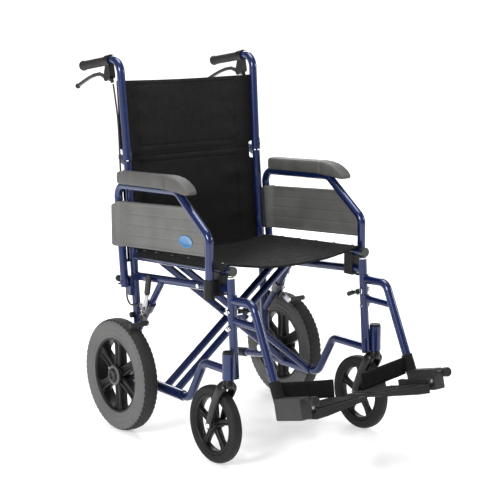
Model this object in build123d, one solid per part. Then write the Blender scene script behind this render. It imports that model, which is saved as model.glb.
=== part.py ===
"""Transport wheelchair: folding steel frame, 12 inch rear wheels, 8 inch casters.

Millimetres.  +Z is up, the chair faces -Y, and its right-hand side is at -X.
Most pieces are modelled once, on the left (+X) side, and mirrored for the right.
"""
from build123d import *
from math import atan2, cos, degrees, radians, tan
import os

# ---------------------------------------------------------------- driving dimensions
ORIGIN_Y = 51.822        # moves the modelling origin onto the middle of the whole length
FRAME_X = 217.0          # half the distance between the two side frames
TUBE_R = 11.0            # 22 mm frame tube
THIN_R = 9.0             # 18 mm struts
RUN = 0.05               # radial clearance of a running fit
GAP = 0.4                # clearance beside a piece that moves

UPRIGHT_Y, UPRIGHT_LEAN = 222.0, 0.0864      # rear upright at FOLD_Z, and its backward lean
FOLD_Z = 731.0                               # height of the backrest's fold
POST_Y, POST_LEAN, POST_FOOT = -261.0, 0.072, 228.0
LOWER_Z = 128.0                              # lower rail, the axis that a brace turns on
SEAT_Z, SEAT_SLOPE, SEAT_REAR = 467.0, 0.0584, 209.0
BRACE_TOP_Z = 477.0
BRACE_R = 10.0
BRACE_A_Y = (55.0, 7.0)                      # inner pair of cross tubes
BRACE_B_Y = (81.0, -19.0)                    # outer pair

ARM_X = 250.0
ARM_PIVOT_Z = 400.0
PAD_X, PAD_HALF = 254, 20

WHEEL_X, WHEEL_Y, WHEEL_R, WHEEL_HALF = 280.0, 172.0, 152.5, 25.0
AXLE_R = 6.0
CASTER_X, STEM_Y, TRAIL, CASTER_R, CASTER_HALF = 243.0, -268.0, 55.4, 100.0, 14.0
STEM_R = 8.0

FOOT_Y, FOOT_Z, FOOT_PITCH = -447.0, 190.0, 14.0   # lower end of the hanger tube
PLATE_PIVOT = (193.0, -2.0)                        # footplate hinge, in the pitched frame

HANDLE_X, HANDLE_END, HANDLE_Z = 222.0, 432.0, 968.0
HANDLE_SLOPE = 0.15
LEVER_PIVOT = (305.0, 942.0)

BRAKE_LEVER_PIVOT = (122.0, 336.0)
BRAKE_SHOE_PIVOT = (126.0, 314.0)


def upright_y(z):
    return UPRIGHT_Y + (z - FOLD_Z) * UPRIGHT_LEAN


def post_y(z):
    return POST_Y + (z - POST_FOOT) * POST_LEAN


def seat_z(y):
    return SEAT_Z + (SEAT_REAR - y) * SEAT_SLOPE


def upper_z(y):
    return 413.0 + (194.0 - y) * 0.0778


def strut_z(y):
    return 424.0 - (y - 57.0) * 1.3065


def back_point(z):
    """A point on the centre line of the folding back tube."""
    share = (z - 726.0) / (995.0 - 726.0)
    return (FRAME_X + share * (HANDLE_X - FRAME_X), 221.57 + share * (245.0 - 221.57), z)


def handle_z(y):
    return HANDLE_Z + (HANDLE_END - y) * HANDLE_SLOPE


# ---------------------------------------------------------------- helpers
def rod(start, end, radius):
    """A round bar between two points."""
    along = Vector(*end) - Vector(*start)
    return Solid.make_cylinder(radius, along.length, Plane(origin=start, z_dir=along))


def tube(points, radius, bends):
    """A bent tube: straight runs through the points, with a tangent arc at each corner."""
    path = FilletPolyline(*points, radius=bends)
    section = Plane(origin=path @ 0, z_dir=path % 0) * Circle(radius)
    return sweep(section, path=path)


def ring(start, end, outer, inner):
    return rod(start, end, outer) - rod(start, end, inner)


def block(low, high):
    size = [b - a for a, b in zip(low, high)]
    middle = [(a + b) / 2 for a, b in zip(low, high)]
    return Pos(*middle) * Box(*size)


def side_plate(outline, x0, x1):
    """A plate in a side plane: its outline is given as (y, z) points."""
    face = make_face(Polyline(*outline, close=True))
    return Pos(x0, 0, 0) * extrude(Plane.YZ * face, amount=x1 - x0)


def side_link(circles, x0, x1):
    """A link in a side plane: the hull of circles given as (y, z, radius)."""
    rims = ShapeList()
    for y, z, radius in circles:
        rims += (Pos(y, z) * Circle(radius)).edges()
    return Pos(x0, 0, 0) * extrude(Plane.YZ * make_hull(rims), amount=x1 - x0)


def x_rod(x0, x1, y, z, radius):
    return rod((x0, y, z), (x1, y, z), radius)


def turned(profile, x, y, z):
    """Turn a profile of (distance along X, radius) points about an axle along X."""
    face = make_face(Polyline(*profile, close=True))
    return Pos(x, y, z) * revolve(face, Axis.X)


def in_foot_frame(shape):
    """From the footrest's own frame, pitched up at the front, to the chair's frame."""
    return Pos(0, FOOT_Y, FOOT_Z) * Rot(-FOOT_PITCH, 0, 0) * shape


# ---------------------------------------------------------------- side frame
def side_frame():
    upright = rod((FRAME_X, upright_y(118), 118), (FRAME_X, upright_y(722), 722), TUBE_R)
    upper = rod((FRAME_X, 194, upper_z(194)), (FRAME_X, -245, upper_z(-245)), TUBE_R)
    strut = rod((FRAME_X, 57, strut_z(57)), (FRAME_X, 181, strut_z(181)), THIN_R)
    post = rod((FRAME_X, post_y(POST_FOOT), POST_FOOT), (FRAME_X, post_y(474), 474), TUBE_R)
    lower = tube(
        [(FRAME_X, 300, 112), (FRAME_X, 190, LOWER_Z), (FRAME_X, -62, LOWER_Z),
         (FRAME_X, -128, 238), (FRAME_X, -257, 238)],
        TUBE_R, [60, 32, 32],
    )
    housing = rod((CASTER_X, STEM_Y, 228), (CASTER_X, STEM_Y, 294), 15.5)
    gusset = block((FRAME_X + 4, -267, 240), (CASTER_X - 4, -255, 285))
    boss = x_rod(203, 246, WHEEL_Y, WHEEL_R, 13)
    hinge_eye = side_link([(246, 728, 11)], 212, 222)
    hinge_web = side_plate([(222, 704), (222, 720), (236, 720), (246, 728), (252, 718)], 212, 222)
    arm_seat = block((FRAME_X + 5, 183, 362), (238.4, 209, 386))
    arm_ear = block((229, 183, 362), (238.4, 209, 414))
    arm_pin = x_rod(229, 263, 194.5, ARM_PIVOT_Z, 5)
    cable_tab = block((222, 199, 452), (237, 224, 456))
    frame = upright + upper + strut + post + lower + housing + gusset + boss
    frame += hinge_eye + hinge_web + arm_seat + arm_ear + arm_pin + cable_tab
    frame -= rod((CASTER_X, STEM_Y, 220), (CASTER_X, STEM_Y, 300), STEM_R + RUN)
    frame -= x_rod(190, 250, WHEEL_Y, WHEEL_R, AXLE_R)
    frame -= x_rod(200, 230, 246, 728, 4 + RUN)
    frame -= rod((231.5, 217.5, 440), (231.5, 218.5, 470), 3)
    for z in (392, 351):
        frame -= x_rod(200, 240, post_y(z), z, 4)
    frame -= x_rod(200, 240, upright_y(308), 308, 4)
    return frame


def front_socket():
    """Moulding on the upper rail: armrest socket outboard, seat-rail cradle on top."""
    cup = rod((ARM_X, -200, 421), (ARM_X, -200, 469), 14.5)
    saddle = block((FRAME_X - 13, -217, upper_z(-200) - 15), (FRAME_X + 13, -183, 487))
    bridge = block((FRAME_X + 5, -212, 428), (ARM_X, -188, 464))
    body = saddle + bridge + cup
    for shift in (0, 2, 4):
        body -= rod((ARM_X, -200 + shift, 430), (ARM_X, -200 + shift, 480), TUBE_R + GAP)
    body -= rod((FRAME_X, -170, upper_z(-170)), (FRAME_X, -230, upper_z(-230)), TUBE_R + 0.02)
    body -= rod((FRAME_X, -170, seat_z(-170)), (FRAME_X, -230, seat_z(-230)), TUBE_R + 2 * GAP)
    return body


def frame_hardware():
    """Bright fixings held by the side frame: axle, cross pins, bolts, cable adjuster."""
    axle = x_rod(196, 304, WHEEL_Y, WHEEL_R, AXLE_R) + x_rod(190, 196, WHEEL_Y, WHEEL_R, 10)
    parts = [axle]
    for z in (392, 351):
        pin = x_rod(203.5, 229, post_y(z), z, 4)
        nut = x_rod(228.6, 234, post_y(z), z, 7) + Pos(234, post_y(z), z) * Sphere(5.5)
        parts.append(pin + nut)
    y = post_y(392)
    shelf = block((189, y - 6, 383), (205.6, y + 6, 386)) + block((203.5, y - 6, 383), (205.6, y + 6, 397))
    parts[1] += shelf + rod((196, y, 385), (196, y, 399), 2.5)
    parts.append(rod((FRAME_X, post_y(474.4), 474.4), (FRAME_X, post_y(478), 478), 9))
    bolt = x_rod(204, 231, upright_y(308), 308, 4) + x_rod(200, 205, upright_y(308), 308, 6.5)
    parts.append(bolt)
    parts.append(x_rod(228, 231.5, -119, upper_z(-119), 5.5))
    parts.append(ring((231.5, 218.47, 456.8), (231.5, 219.83, 480), 4.5, 3.1))
    return Compound(children=parts)


def frame_trim():
    """Black plastic on the side frame: tube plugs, tipping-lever tip, knobs and caps."""
    tip_dir = Vector(0, 300 - 190, 112 - LOWER_Z).normalized()
    end = Vector(FRAME_X, 300, 112)
    tip = rod(tuple(end - tip_dir * 32), tuple(end + tip_dir * 6), 13.5)
    tip -= rod(tuple(end - tip_dir * 40), tuple(end), TUBE_R)
    foot = rod((FRAME_X, post_y(223.6), 223.6), (FRAME_X, post_y(227), 227), 10.5)
    cap = ring((CASTER_X, STEM_Y, 294), (CASTER_X, STEM_Y, 298), 14, 9)
    cap += rod((CASTER_X, STEM_Y, 297), (CASTER_X, STEM_Y, 299), 14)
    knob_head = x_rod(231.2, 238, upright_y(308), 308, 8)
    return Compound(children=[tip, foot, cap, knob_head])


# ---------------------------------------------------------------- wheels
def spokes(x, y, z, count, inner, outer, wide, thick, phase=0):
    bars = None
    for i in range(count):
        bar = Pos(0, (inner + outer) / 2, 0) * Box(thick, outer - inner, wide)
        bar = Pos(x, y, z) * (Rot(phase + 360 * i / count, 0, 0) * bar)
        bars = bar if bars is None else bars + bar
    return bars


def tyre(x, y, z, radius, inner, half):
    """A tyre with a rounded tread and straight sidewalls."""
    face = Pos(0, (radius + inner) / 2) * RectangleRounded(2 * half, radius - inner, half * 0.55)
    return Pos(x, y, z) * revolve(face, Axis.X)


def rear_rim():
    rim_profile = [(-20, 105), (-20, 118), (20, 118), (20, 105), (14, 103), (-14, 103)]
    rim = turned(rim_profile, WHEEL_X, WHEEL_Y, WHEEL_R)
    hub_profile = [(-31, 0), (-31, 20), (-12, 27), (24, 27), (26, 24), (26, 0)]
    hub = turned(hub_profile, WHEEL_X, WHEEL_Y, WHEEL_R)
    bars = spokes(WHEEL_X, WHEEL_Y, WHEEL_R, 6, 20, 106, 30, 20, 30)
    wheel = rim + hub + bars
    return wheel - x_rod(240, 304.5, WHEEL_Y, WHEEL_R, AXLE_R + RUN)


def caster_fork():
    stem = rod((CASTER_X, STEM_Y, 212), (CASTER_X, STEM_Y, 292), STEM_R)
    crown = block((CASTER_X - 24, STEM_Y - 14, 205), (CASTER_X + 24, STEM_Y + 26, 220))
    crown = fillet(crown.edges().filter_by(Axis.Z), 6)
    collar = rod((CASTER_X, STEM_Y, 213), (CASTER_X, STEM_Y, 227.5), 13)
    fork = stem + crown + collar
    axle_y = STEM_Y + TRAIL
    for low, high in ((17.5, 25), (-25, -17.5)):
        leg = side_link([(STEM_Y + 10, 207, 11), (STEM_Y + 42, 160, 12)], CASTER_X + low, CASTER_X + high)
        leg += side_link([(STEM_Y + 42, 160, 12), (axle_y, CASTER_R, 11)], CASTER_X + low, CASTER_X + high)
        fork += leg
    fork += x_rod(CASTER_X - 30, CASTER_X + 30, axle_y, CASTER_R, 5)
    for low, high in ((25, 30), (-30, -25)):
        fork += x_rod(CASTER_X + low, CASTER_X + high, axle_y, CASTER_R, 8)
    return fork


def caster_rim():
    y = STEM_Y + TRAIL
    rim = turned([(-11, 71), (-11, 78), (11, 78), (11, 71)], CASTER_X, y, CASTER_R)
    hub = x_rod(CASTER_X - 16.5, CASTER_X + 16.5, y, CASTER_R, 15)
    bars = spokes(CASTER_X, y, CASTER_R, 5, 10, 73, 15, 13, 90)
    return rim + hub + bars - x_rod(CASTER_X - 20, CASTER_X + 20, y, CASTER_R, 5 + RUN)


# ---------------------------------------------------------------- parking brake
def brake_bracket():
    low, high = Vector(FRAME_X, 113, strut_z(113)), Vector(FRAME_X, 130, strut_z(130))
    clamp = rod(tuple(low), tuple(high), 13)
    lever_y, lever_z = BRAKE_LEVER_PIVOT
    shoe_y, shoe_z = BRAKE_SHOE_PIVOT
    plate = side_link([(121, 340, 10), (lever_y, lever_z, 9), (shoe_y, shoe_z, 8)], 227, 232)
    body = clamp + plate - rod(tuple(low - (high - low)), tuple(high + (high - low)), THIN_R + 0.02)
    body += x_rod(231, 241, lever_y, lever_z, 4) + x_rod(231, 246, shoe_y, shoe_z, 4)
    body += x_rod(239.8, 242, lever_y, lever_z, 6) + x_rod(244, 247, shoe_y, shoe_z, 6)
    anchor = block((227, 134, 336), (232, 152, 346))
    return body + anchor


def parking_lever():
    y, z = BRAKE_LEVER_PIVOT
    blade = side_link([(y, z, 8), (104, 384, 5)], 233, 237.6)
    blade -= x_rod(225, 245, y, z, 4 + RUN)
    grip = rod((237.5, 103, 383), (237.5, 95, 425), 8) + Pos(237.5, 95, 425) * Sphere(8)
    grip += Pos(237.5, 103, 383) * Sphere(8)
    return blade + grip


def parking_shoe():
    """Arm and round shoe that press on the tyre, resting 6 mm off it."""
    y, z = BRAKE_SHOE_PIVOT
    reach = WHEEL_R + 7 + 6
    shoe_y, shoe_z = WHEEL_Y - 0.44 * reach, WHEEL_R + 0.898 * reach
    arm = side_link([(y, z, 8), (shoe_y, shoe_z, 7)], 238.4, 243)
    arm -= x_rod(230, 250, y, z, 4 + RUN)
    return arm + x_rod(240, 296, shoe_y, shoe_z, 7)


# ---------------------------------------------------------------- upper back
def back_tube():
    return tube(
        [back_point(726), back_point(handle_z(245)), (HANDLE_X, 425, handle_z(425))],
        TUBE_R, [36],
    )


def back_hinge():
    """Sleeve on the foot of the folding back tube, with a fork and pin behind it."""
    sleeve = rod(back_point(725), back_point(757), 12.6)
    fork = block((207, 222, 725.5), (211.6, 252, 738)) + block((222.4, 222, 725.5), (227, 252, 738))
    pin = x_rod(206, 228, 246, 728, 4)
    rivet = rod((FRAME_X, 205, 742), (FRAME_X, 212, 742), 3.5)
    body = sleeve + fork + pin + rivet
    return body - rod(back_point(715), back_point(775), TUBE_R + 0.02)


def hand_grip():
    front, rear = (HANDLE_X, 310, handle_z(310)), (HANDLE_X, 436, handle_z(436))
    flare = (HANDLE_X, 428, handle_z(428))
    grip = rod(front, rear, 12.6) + rod(flare, rear, 14)
    return grip - rod((HANDLE_X, 300, handle_z(300)), (HANDLE_X, 425.2, handle_z(425.2)), TUBE_R + 0.02)


def lever_clamp():
    """Clamp and pivot housing of the attendant's brake lever."""
    y, z = LEVER_PIVOT
    band = rod((HANDLE_X, 287, handle_z(287)), (HANDLE_X, 308, handle_z(308)), 15.5)
    body = side_link([(297, 976, 9), (y, z, 10), (290, 948, 8)], HANDLE_X - 9, HANDLE_X + 9)
    slot = block((HANDLE_X - 4.6, 298, z - 12), (HANDLE_X + 4.6, 330, z + 22))
    body = band + (body - slot)
    body += x_rod(HANDLE_X - 8, HANDLE_X + 8, y, z, 3)
    body += rod((HANDLE_X, 292, 946), (HANDLE_X, 283, 930), 5)
    return body - rod((HANDLE_X, 270, handle_z(270)), (HANDLE_X, 320, handle_z(320)), TUBE_R + 0.02)


def hand_lever():
    y, z = LEVER_PIVOT
    stations = [(y, z, 7), (342, 950, 5), (372, 945.5, 4.5), (405, 935.5, 4), (436, 923, 4), (466, 910, 4)]
    lever = None
    for near, far in zip(stations, stations[1:]):
        link = side_link([near, far], HANDLE_X - 4, HANDLE_X + 4)
        lever = link if lever is None else lever + link
    lever += Pos(HANDLE_X, 466, 910) * Sphere(7.5)
    return lever - x_rod(HANDLE_X - 8, HANDLE_X + 8, y, z, 3 + RUN)


CABLE_R = 2.5
CABLE_ROUTE = [
    (222, 280, 926), (224, 268, 890), (228, 250, 840), (231, 240, 780), (231.5, 236, 700),
    (231.5, 228, 600), (231.5, 221, 500), (231.5, 217.2, 435), (231.5, 214.5, 395),
    (231.5, 213.6, 350), (231.5, 200, 334), (231.5, 172, 336), (231.5, 152.8, 341),
]


def brake_cable():
    """Bowden cable from the hand lever to the parking brake, held along the back tube."""
    bends = []
    for a, b, c in zip(CABLE_ROUTE, CABLE_ROUTE[1:], CABLE_ROUTE[2:]):
        first, second = Vector(*b) - Vector(*a), Vector(*c) - Vector(*b)
        turn = radians(first.get_angle(second))
        bends.append(0.45 * min(first.length, second.length) / tan(turn / 2))
    return tube(CABLE_ROUTE, CABLE_R, bends)


# ---------------------------------------------------------------- armrest
ARM_ROUTE = [(193, 386), (222, 661), (-62, 674), (-200, 575), (-200, 449)]


def arm_tube(radius):
    return tube([(ARM_X, y, z) for y, z in ARM_ROUTE], radius, [32, 38, 32])


def arm_frame():
    return arm_tube(TUBE_R) - x_rod(230, 270, 194.5, ARM_PIVOT_Z, 5 + RUN)


def arm_pad():
    outline = [(189, 667), (191, 703), (-45, 715), (-80, 712), (-112, 699), (-136, 682),
               (-130, 673), (-92, 676), (-60, 674)]
    pad = side_plate(outline, PAD_X - PAD_HALF, PAD_X + PAD_HALF)
    pad = fillet(pad.edges().group_by(Axis.Z)[-1] + pad.faces().sort_by(Axis.Z)[-1].edges(), 5)
    return pad - arm_tube(TUBE_R)


def side_panel():
    outline = [(228, 496), (-186, 525), (-186, 566), (-172, 583), (-95, 640), (206, 619)]
    sheet = side_plate(outline, ARM_X - 3, ARM_X + 3)
    flange = side_plate([(188, 497), (200, 610), (243, 606), (236, 495)], ARM_X - 13, ARM_X + 13)
    knob = rod((ARM_X, 206.8, 405), (ARM_X, 217, 405), 5) + rod((ARM_X, 217, 405), (ARM_X, 229, 405), 9)
    release = block((244, 205, 389), (256, 224, 394))
    return Compound(children=[sheet + flange - arm_tube(TUBE_R), knob, release])


# ---------------------------------------------------------------- footrest
def hanger_line():
    return [(FRAME_X, post_y(421) - 12.5, 421.6), (FRAME_X, -336, 425), (FRAME_X, FOOT_Y, FOOT_Z)]


def hanger():
    arm = tube(hanger_line(), TUBE_R, [30])
    y = post_y(371)
    brace = rod((FRAME_X, y - 12.5, 371), (FRAME_X, -361, 371), 9)
    body = arm + brace
    for low, high in ((365, 379), (410, 433)):
        hook = rod((FRAME_X, post_y(low), low), (FRAME_X, post_y(high), high), 15)
        hook -= block((FRAME_X - 30, post_y(low) - 1, low - 10), (FRAME_X + 30, y + 30, high + 10))
        body += hook
    body -= rod((FRAME_X, post_y(350), 350), (FRAME_X, post_y(445), 445), TUBE_R + GAP)
    top, bottom = Vector(FRAME_X, -345, 403), Vector(FRAME_X, FOOT_Y, FOOT_Z)
    for share in (0.45, 0.55, 0.65, 0.75):
        spot = top + (bottom - top) * share
        body -= x_rod(FRAME_X + 6, FRAME_X + 14, spot.Y, spot.Z, 2.6)
    return body


def footplate_pin():
    """The long pin that the footplate folds on."""
    x, z = PLATE_PIVOT
    return in_foot_frame(rod((x, -92, z), (x, 30, z), 4))


def foot_bracket():
    """Grey block at the foot of the hanger, with the bumper on its pin."""
    body = block((202, -95, -27), (232, 6, 26))
    body = fillet(body.edges().filter_by(Axis.X), 4)
    ears = None
    x, z = PLATE_PIVOT
    for low in (-92, 18):
        ear = block((x - 7, low, z - 7), (203, low + 8, z + 7))
        ears = ear if ears is None else ears + ear
    body += ears
    body += rod((214, -94, 16), (214, -118, 16), 5)
    body = in_foot_frame(body)
    body -= tube(hanger_line(), TUBE_R, [30])
    x_pin, z_pin = PLATE_PIVOT
    body -= in_foot_frame(rod((x_pin, -100, z_pin), (x_pin, 40, z_pin), 4))
    bumper = in_foot_frame(rod((214, -117, 16), (214, -136, 16), 12))
    bumper = fillet(bumper.edges(), 4)
    return body + bumper


def footplate():
    x, z = PLATE_PIVOT
    outline = [(x - 9, z - 7), (x - 9, z - 30), (150, z - 28), (24, z - 12), (22, z - 9), (22, z - 3),
               (25, z - 2), (170, z - 7)]
    face = make_face(Polyline(*outline, close=True))
    slab = Pos(0, 42, 0) * extrude(Plane.XZ * face, amount=132)
    knuckle = rod((x, -82, z), (x, 16, z), 7) + block((x - 14, -82, z - 14), (x - 1, 16, z - 2))
    plate = slab + knuckle - rod((x, -95, z), (x, 45, z), 4 + RUN)
    return in_foot_frame(plate)


def heel_strap():
    start, end = Vector(202, -429, 225), Vector(46, -439, 210)
    along = end - start
    height = 46
    plane = Plane(origin=(start + end) * 0.5, x_dir=along, z_dir=Vector(along.Y, -along.X, 0))
    return extrude(plane * Rectangle(along.length, height), amount=1.5, both=True)


def latch_lever():
    y = post_y(392)
    hub = rod((196, y, 387), (196, y, 397), 5)
    arm = rod((194, y, 392), (172, y - 3.5, 391), 3.5) + rod((176, y - 3, 391), (158, y - 6.5, 390), 6)
    return hub + arm - rod((196, y, 380), (196, y, 405), 2.5 + RUN)


# ---------------------------------------------------------------- folding cross frame
def brace(side, tubes_y, hole_r):
    """Two cross tubes from the lower rail on one side to the seat rail on the other."""
    foot_x, head_x = side * FRAME_X, -side * FRAME_X
    body = rod((foot_x, -33, LOWER_Z), (foot_x, 95, LOWER_Z), 14)
    for y in tubes_y:
        body += rod((foot_x, y, LOWER_Z), (head_x, y, BRACE_TOP_Z), BRACE_R)
    body += rod((head_x, 183, seat_z(183)), (head_x, -243, seat_z(-243)), TUBE_R)
    body -= rod((foot_x, -40, LOWER_Z), (foot_x, 100, LOWER_Z), TUBE_R + RUN)
    middle = (LOWER_Z + BRACE_TOP_Z) / 2
    body -= rod((0, -60, middle), (0, 120, middle), hole_r)
    caps = [rod((head_x, -243.1, seat_z(-243.1)), (head_x, -255, seat_z(-255)), 12.5),
            rod((head_x, 183.1, seat_z(183.1)), (head_x, 187, seat_z(187)), 11.5)]
    return Compound(children=[body] + caps)


def cross_pivot():
    middle = (LOWER_Z + BRACE_TOP_Z) / 2
    bolt = rod((0, -36, middle), (0, 98, middle), 5)
    for low, high in ((91.4, 98), (-36, -29.4)):
        bolt += rod((0, low, middle), (0, high, middle), 9)
    for low, high in ((65.4, 70.6), (-8.6, -3.4)):
        bolt += rod((0, low, middle), (0, high, middle), 9)
    return bolt


# ---------------------------------------------------------------- soft parts
def seat_sling():
    rise = degrees(atan2(SEAT_SLOPE, 1))
    low, high, half = -232.0, 165.0, 222.0
    middle = (low + high) / 2
    slab = Box(2 * half, (high - low) / cos(radians(rise)), 4)
    return Pos(0, middle, seat_z(middle) + TUBE_R + 3.2) * Rot(-rise, 0, 0) * slab


def back_panel(z_low, z_high):
    behind = TUBE_R + 2.0
    outline = [(upright_y(z_low) + behind, z_low), (upright_y(z_high) + behind, z_high),
               (upright_y(z_high) + behind + 3, z_high), (upright_y(z_low) + behind + 3, z_low)]
    return side_plate(outline, -226, 226)


# ---------------------------------------------------------------- write the parts
MIRRORED = {
    "side_frame": side_frame, "front_socket": front_socket, "frame_hardware": frame_hardware,
    "frame_trim": frame_trim, "brake_bracket": brake_bracket, "parking_lever": parking_lever,
    "parking_shoe": parking_shoe, "brake_cable": brake_cable,
    "wheel_rim": rear_rim, "caster_fork": caster_fork, "caster_rim": caster_rim,
    "back_tube": back_tube, "back_hinge": back_hinge, "hand_grip": hand_grip,
    "lever_clamp": lever_clamp, "hand_lever": hand_lever,
    "arm_frame": arm_frame, "arm_pad": arm_pad, "side_panel": side_panel,
    "hanger": hanger, "footplate_pin": footplate_pin, "foot_bracket": foot_bracket,
    "footplate": footplate, "heel_strap": heel_strap, "latch_lever": latch_lever,
}


def save(name, shape):
    export_step(Pos(0, ORIGIN_Y, 0) * shape, f"parts/{name}.step")


def main():
    os.makedirs("parts", exist_ok=True)
    made = {name: make() for name, make in MIRRORED.items()}
    made["wheel_tyre"] = tyre(WHEEL_X, WHEEL_Y, WHEEL_R, WHEEL_R, 118, WHEEL_HALF)
    made["caster_tyre"] = tyre(CASTER_X, STEM_Y + TRAIL, CASTER_R, CASTER_R, 78, CASTER_HALF)
    for name, shape in made.items():
        save(f"{name}_left", shape)
        save(f"{name}_right", mirror(shape, about=Plane.YZ))
    save("brace_a", brace(-1, BRACE_A_Y, 5))
    save("brace_b", brace(1, BRACE_B_Y, 5 + RUN))
    save("cross_pivot", cross_pivot())
    save("seat_sling", seat_sling())
    save("backrest_lower", back_panel(458, 700))
    save("backrest_upper", back_panel(744, 935))


main()
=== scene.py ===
"""Looks of the transport wheelchair: materials, cloth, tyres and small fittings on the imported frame.

Metres, in the frame's own axes: +Z up, the chair faces -Y, its left side is at +X.
"""
import math

import bmesh
import bpy
from mathutils import Matrix, Vector


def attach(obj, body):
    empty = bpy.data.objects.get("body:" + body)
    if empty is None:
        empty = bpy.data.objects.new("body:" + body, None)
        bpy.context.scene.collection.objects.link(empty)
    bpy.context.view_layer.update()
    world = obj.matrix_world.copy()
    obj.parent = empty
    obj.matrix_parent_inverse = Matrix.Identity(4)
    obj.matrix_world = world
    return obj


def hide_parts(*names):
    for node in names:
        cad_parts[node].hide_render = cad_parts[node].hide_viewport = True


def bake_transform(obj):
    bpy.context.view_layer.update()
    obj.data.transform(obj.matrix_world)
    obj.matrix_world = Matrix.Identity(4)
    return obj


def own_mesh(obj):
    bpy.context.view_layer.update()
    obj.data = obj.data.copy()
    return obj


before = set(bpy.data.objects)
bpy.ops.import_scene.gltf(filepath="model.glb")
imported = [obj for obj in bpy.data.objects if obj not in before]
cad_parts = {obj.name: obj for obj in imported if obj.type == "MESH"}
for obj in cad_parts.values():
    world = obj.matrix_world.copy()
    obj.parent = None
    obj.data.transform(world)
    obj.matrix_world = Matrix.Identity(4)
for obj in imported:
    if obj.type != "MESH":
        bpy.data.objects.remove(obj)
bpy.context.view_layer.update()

MM = 0.001
ORIGIN_Y = 51.822
SIDES = {"left": 1, "right": -1}
CLOTH_STEPS = 24
CLOTH_TRAVEL = 0.006  # metres that settling may move a point

# Places and sizes on the chair's left side, in millimetres
TUBE_R = 11.0
RAIL_X = 217  # seat rails and back posts
ARM_X = 250  # armrest tube and side panel
PAD_X = 254
WHEEL_CENTRE, WHEEL_R = (280, 172, 152.5), 152.5
CASTER_CENTRE, CASTER_R = (243, -212.6, 100), 100
STEM_X, STEM_Y = 243, -268
BADGE_Y, BADGE_Z, BADGE_HALF_WIDTH, BADGE_HALF_HEIGHT = -103, 552, 29, 16
STUDIO_REACH = 40.0  # metres


def at(x, y, z):
    """A point of the chair in millimetres, measured from the modelling origin, as metres."""
    return Vector((x * MM, (y + ORIGIN_Y) * MM, z * MM))


def on_side(place, sign):
    """A place of the left side, or with sign -1 its mirror image, as metres."""
    return at(sign * place[0], place[1], place[2])


# ---------------------------------------------------------------- materials
class Nodes:
    """Small wrapper that adds and links shader nodes."""

    def __init__(self, name):
        self.material = bpy.data.materials.new(name)
        self.material.use_nodes = True
        self.tree = self.material.node_tree
        self.shader = self.tree.nodes["Principled BSDF"]
        self.place = self.add("ShaderNodeTexCoord").outputs["Object"]

    def add(self, kind, **values):
        node = self.tree.nodes.new(kind)
        for key, value in values.items():
            setattr(node, key, value)
        return node

    def link(self, source, target):
        self.tree.links.new(source, target)

    def noise(self, scale, detail=3.0, rough=0.5):
        node = self.add("ShaderNodeTexNoise")
        node.inputs["Scale"].default_value = scale
        node.inputs["Detail"].default_value = detail
        node.inputs["Roughness"].default_value = rough
        self.link(self.place, node.inputs["Vector"])
        return node.outputs["Fac"]

    def wave(self, scale, direction, distortion=0.0):
        node = self.add("ShaderNodeTexWave", wave_type="BANDS", bands_direction=direction)
        node.inputs["Scale"].default_value = scale
        node.inputs["Distortion"].default_value = distortion
        self.link(self.place, node.inputs["Vector"])
        return node.outputs["Fac"]

    def math(self, operation, a, b=0.0):
        node = self.add("ShaderNodeMath", operation=operation)
        for socket, value in zip(node.inputs, (a, b)):
            if isinstance(value, (int, float)):
                socket.default_value = value
            else:
                self.link(value, socket)
        return node.outputs[0]

    def spread(self, value, low, high):
        """Map a 0..1 value onto low..high, stretched so that soft noise uses the whole range."""
        node = self.add("ShaderNodeMapRange")
        node.inputs["From Min"].default_value = 0.3
        node.inputs["From Max"].default_value = 0.7
        node.inputs["To Min"].default_value = low
        node.inputs["To Max"].default_value = high
        self.link(value, node.inputs["Value"])
        return node.outputs[0]

    def blend(self, factor, a, b):
        node = self.add("ShaderNodeMix", data_type="RGBA")
        self.link(factor, node.inputs[0])
        for socket, value in ((node.inputs[6], a), (node.inputs[7], b)):
            if isinstance(value, tuple):
                socket.default_value = (*value, 1.0)
            else:
                self.link(value, socket)
        return node.outputs[2]

    def beyond(self, direction, distance):
        """1 where the place along a direction is beyond a distance, else 0."""
        dot = self.add("ShaderNodeVectorMath", operation="DOT_PRODUCT")
        self.link(self.place, dot.inputs[0])
        dot.inputs[1].default_value = direction
        return self.math("GREATER_THAN", dot.outputs["Value"], distance)

    def bump(self, height, strength, distance, bevel=0.0):
        node = self.add("ShaderNodeBump")
        node.inputs["Strength"].default_value = strength
        node.inputs["Distance"].default_value = distance
        self.link(height, node.inputs["Height"])
        if bevel:
            edge = self.add("ShaderNodeBevel", samples=4)
            edge.inputs["Radius"].default_value = bevel
            self.link(edge.outputs[0], node.inputs["Normal"])
        self.link(node.outputs[0], self.shader.inputs["Normal"])


def shade(colour, amount):
    return tuple(min(1.0, max(0.0, c * amount)) for c in colour)


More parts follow.
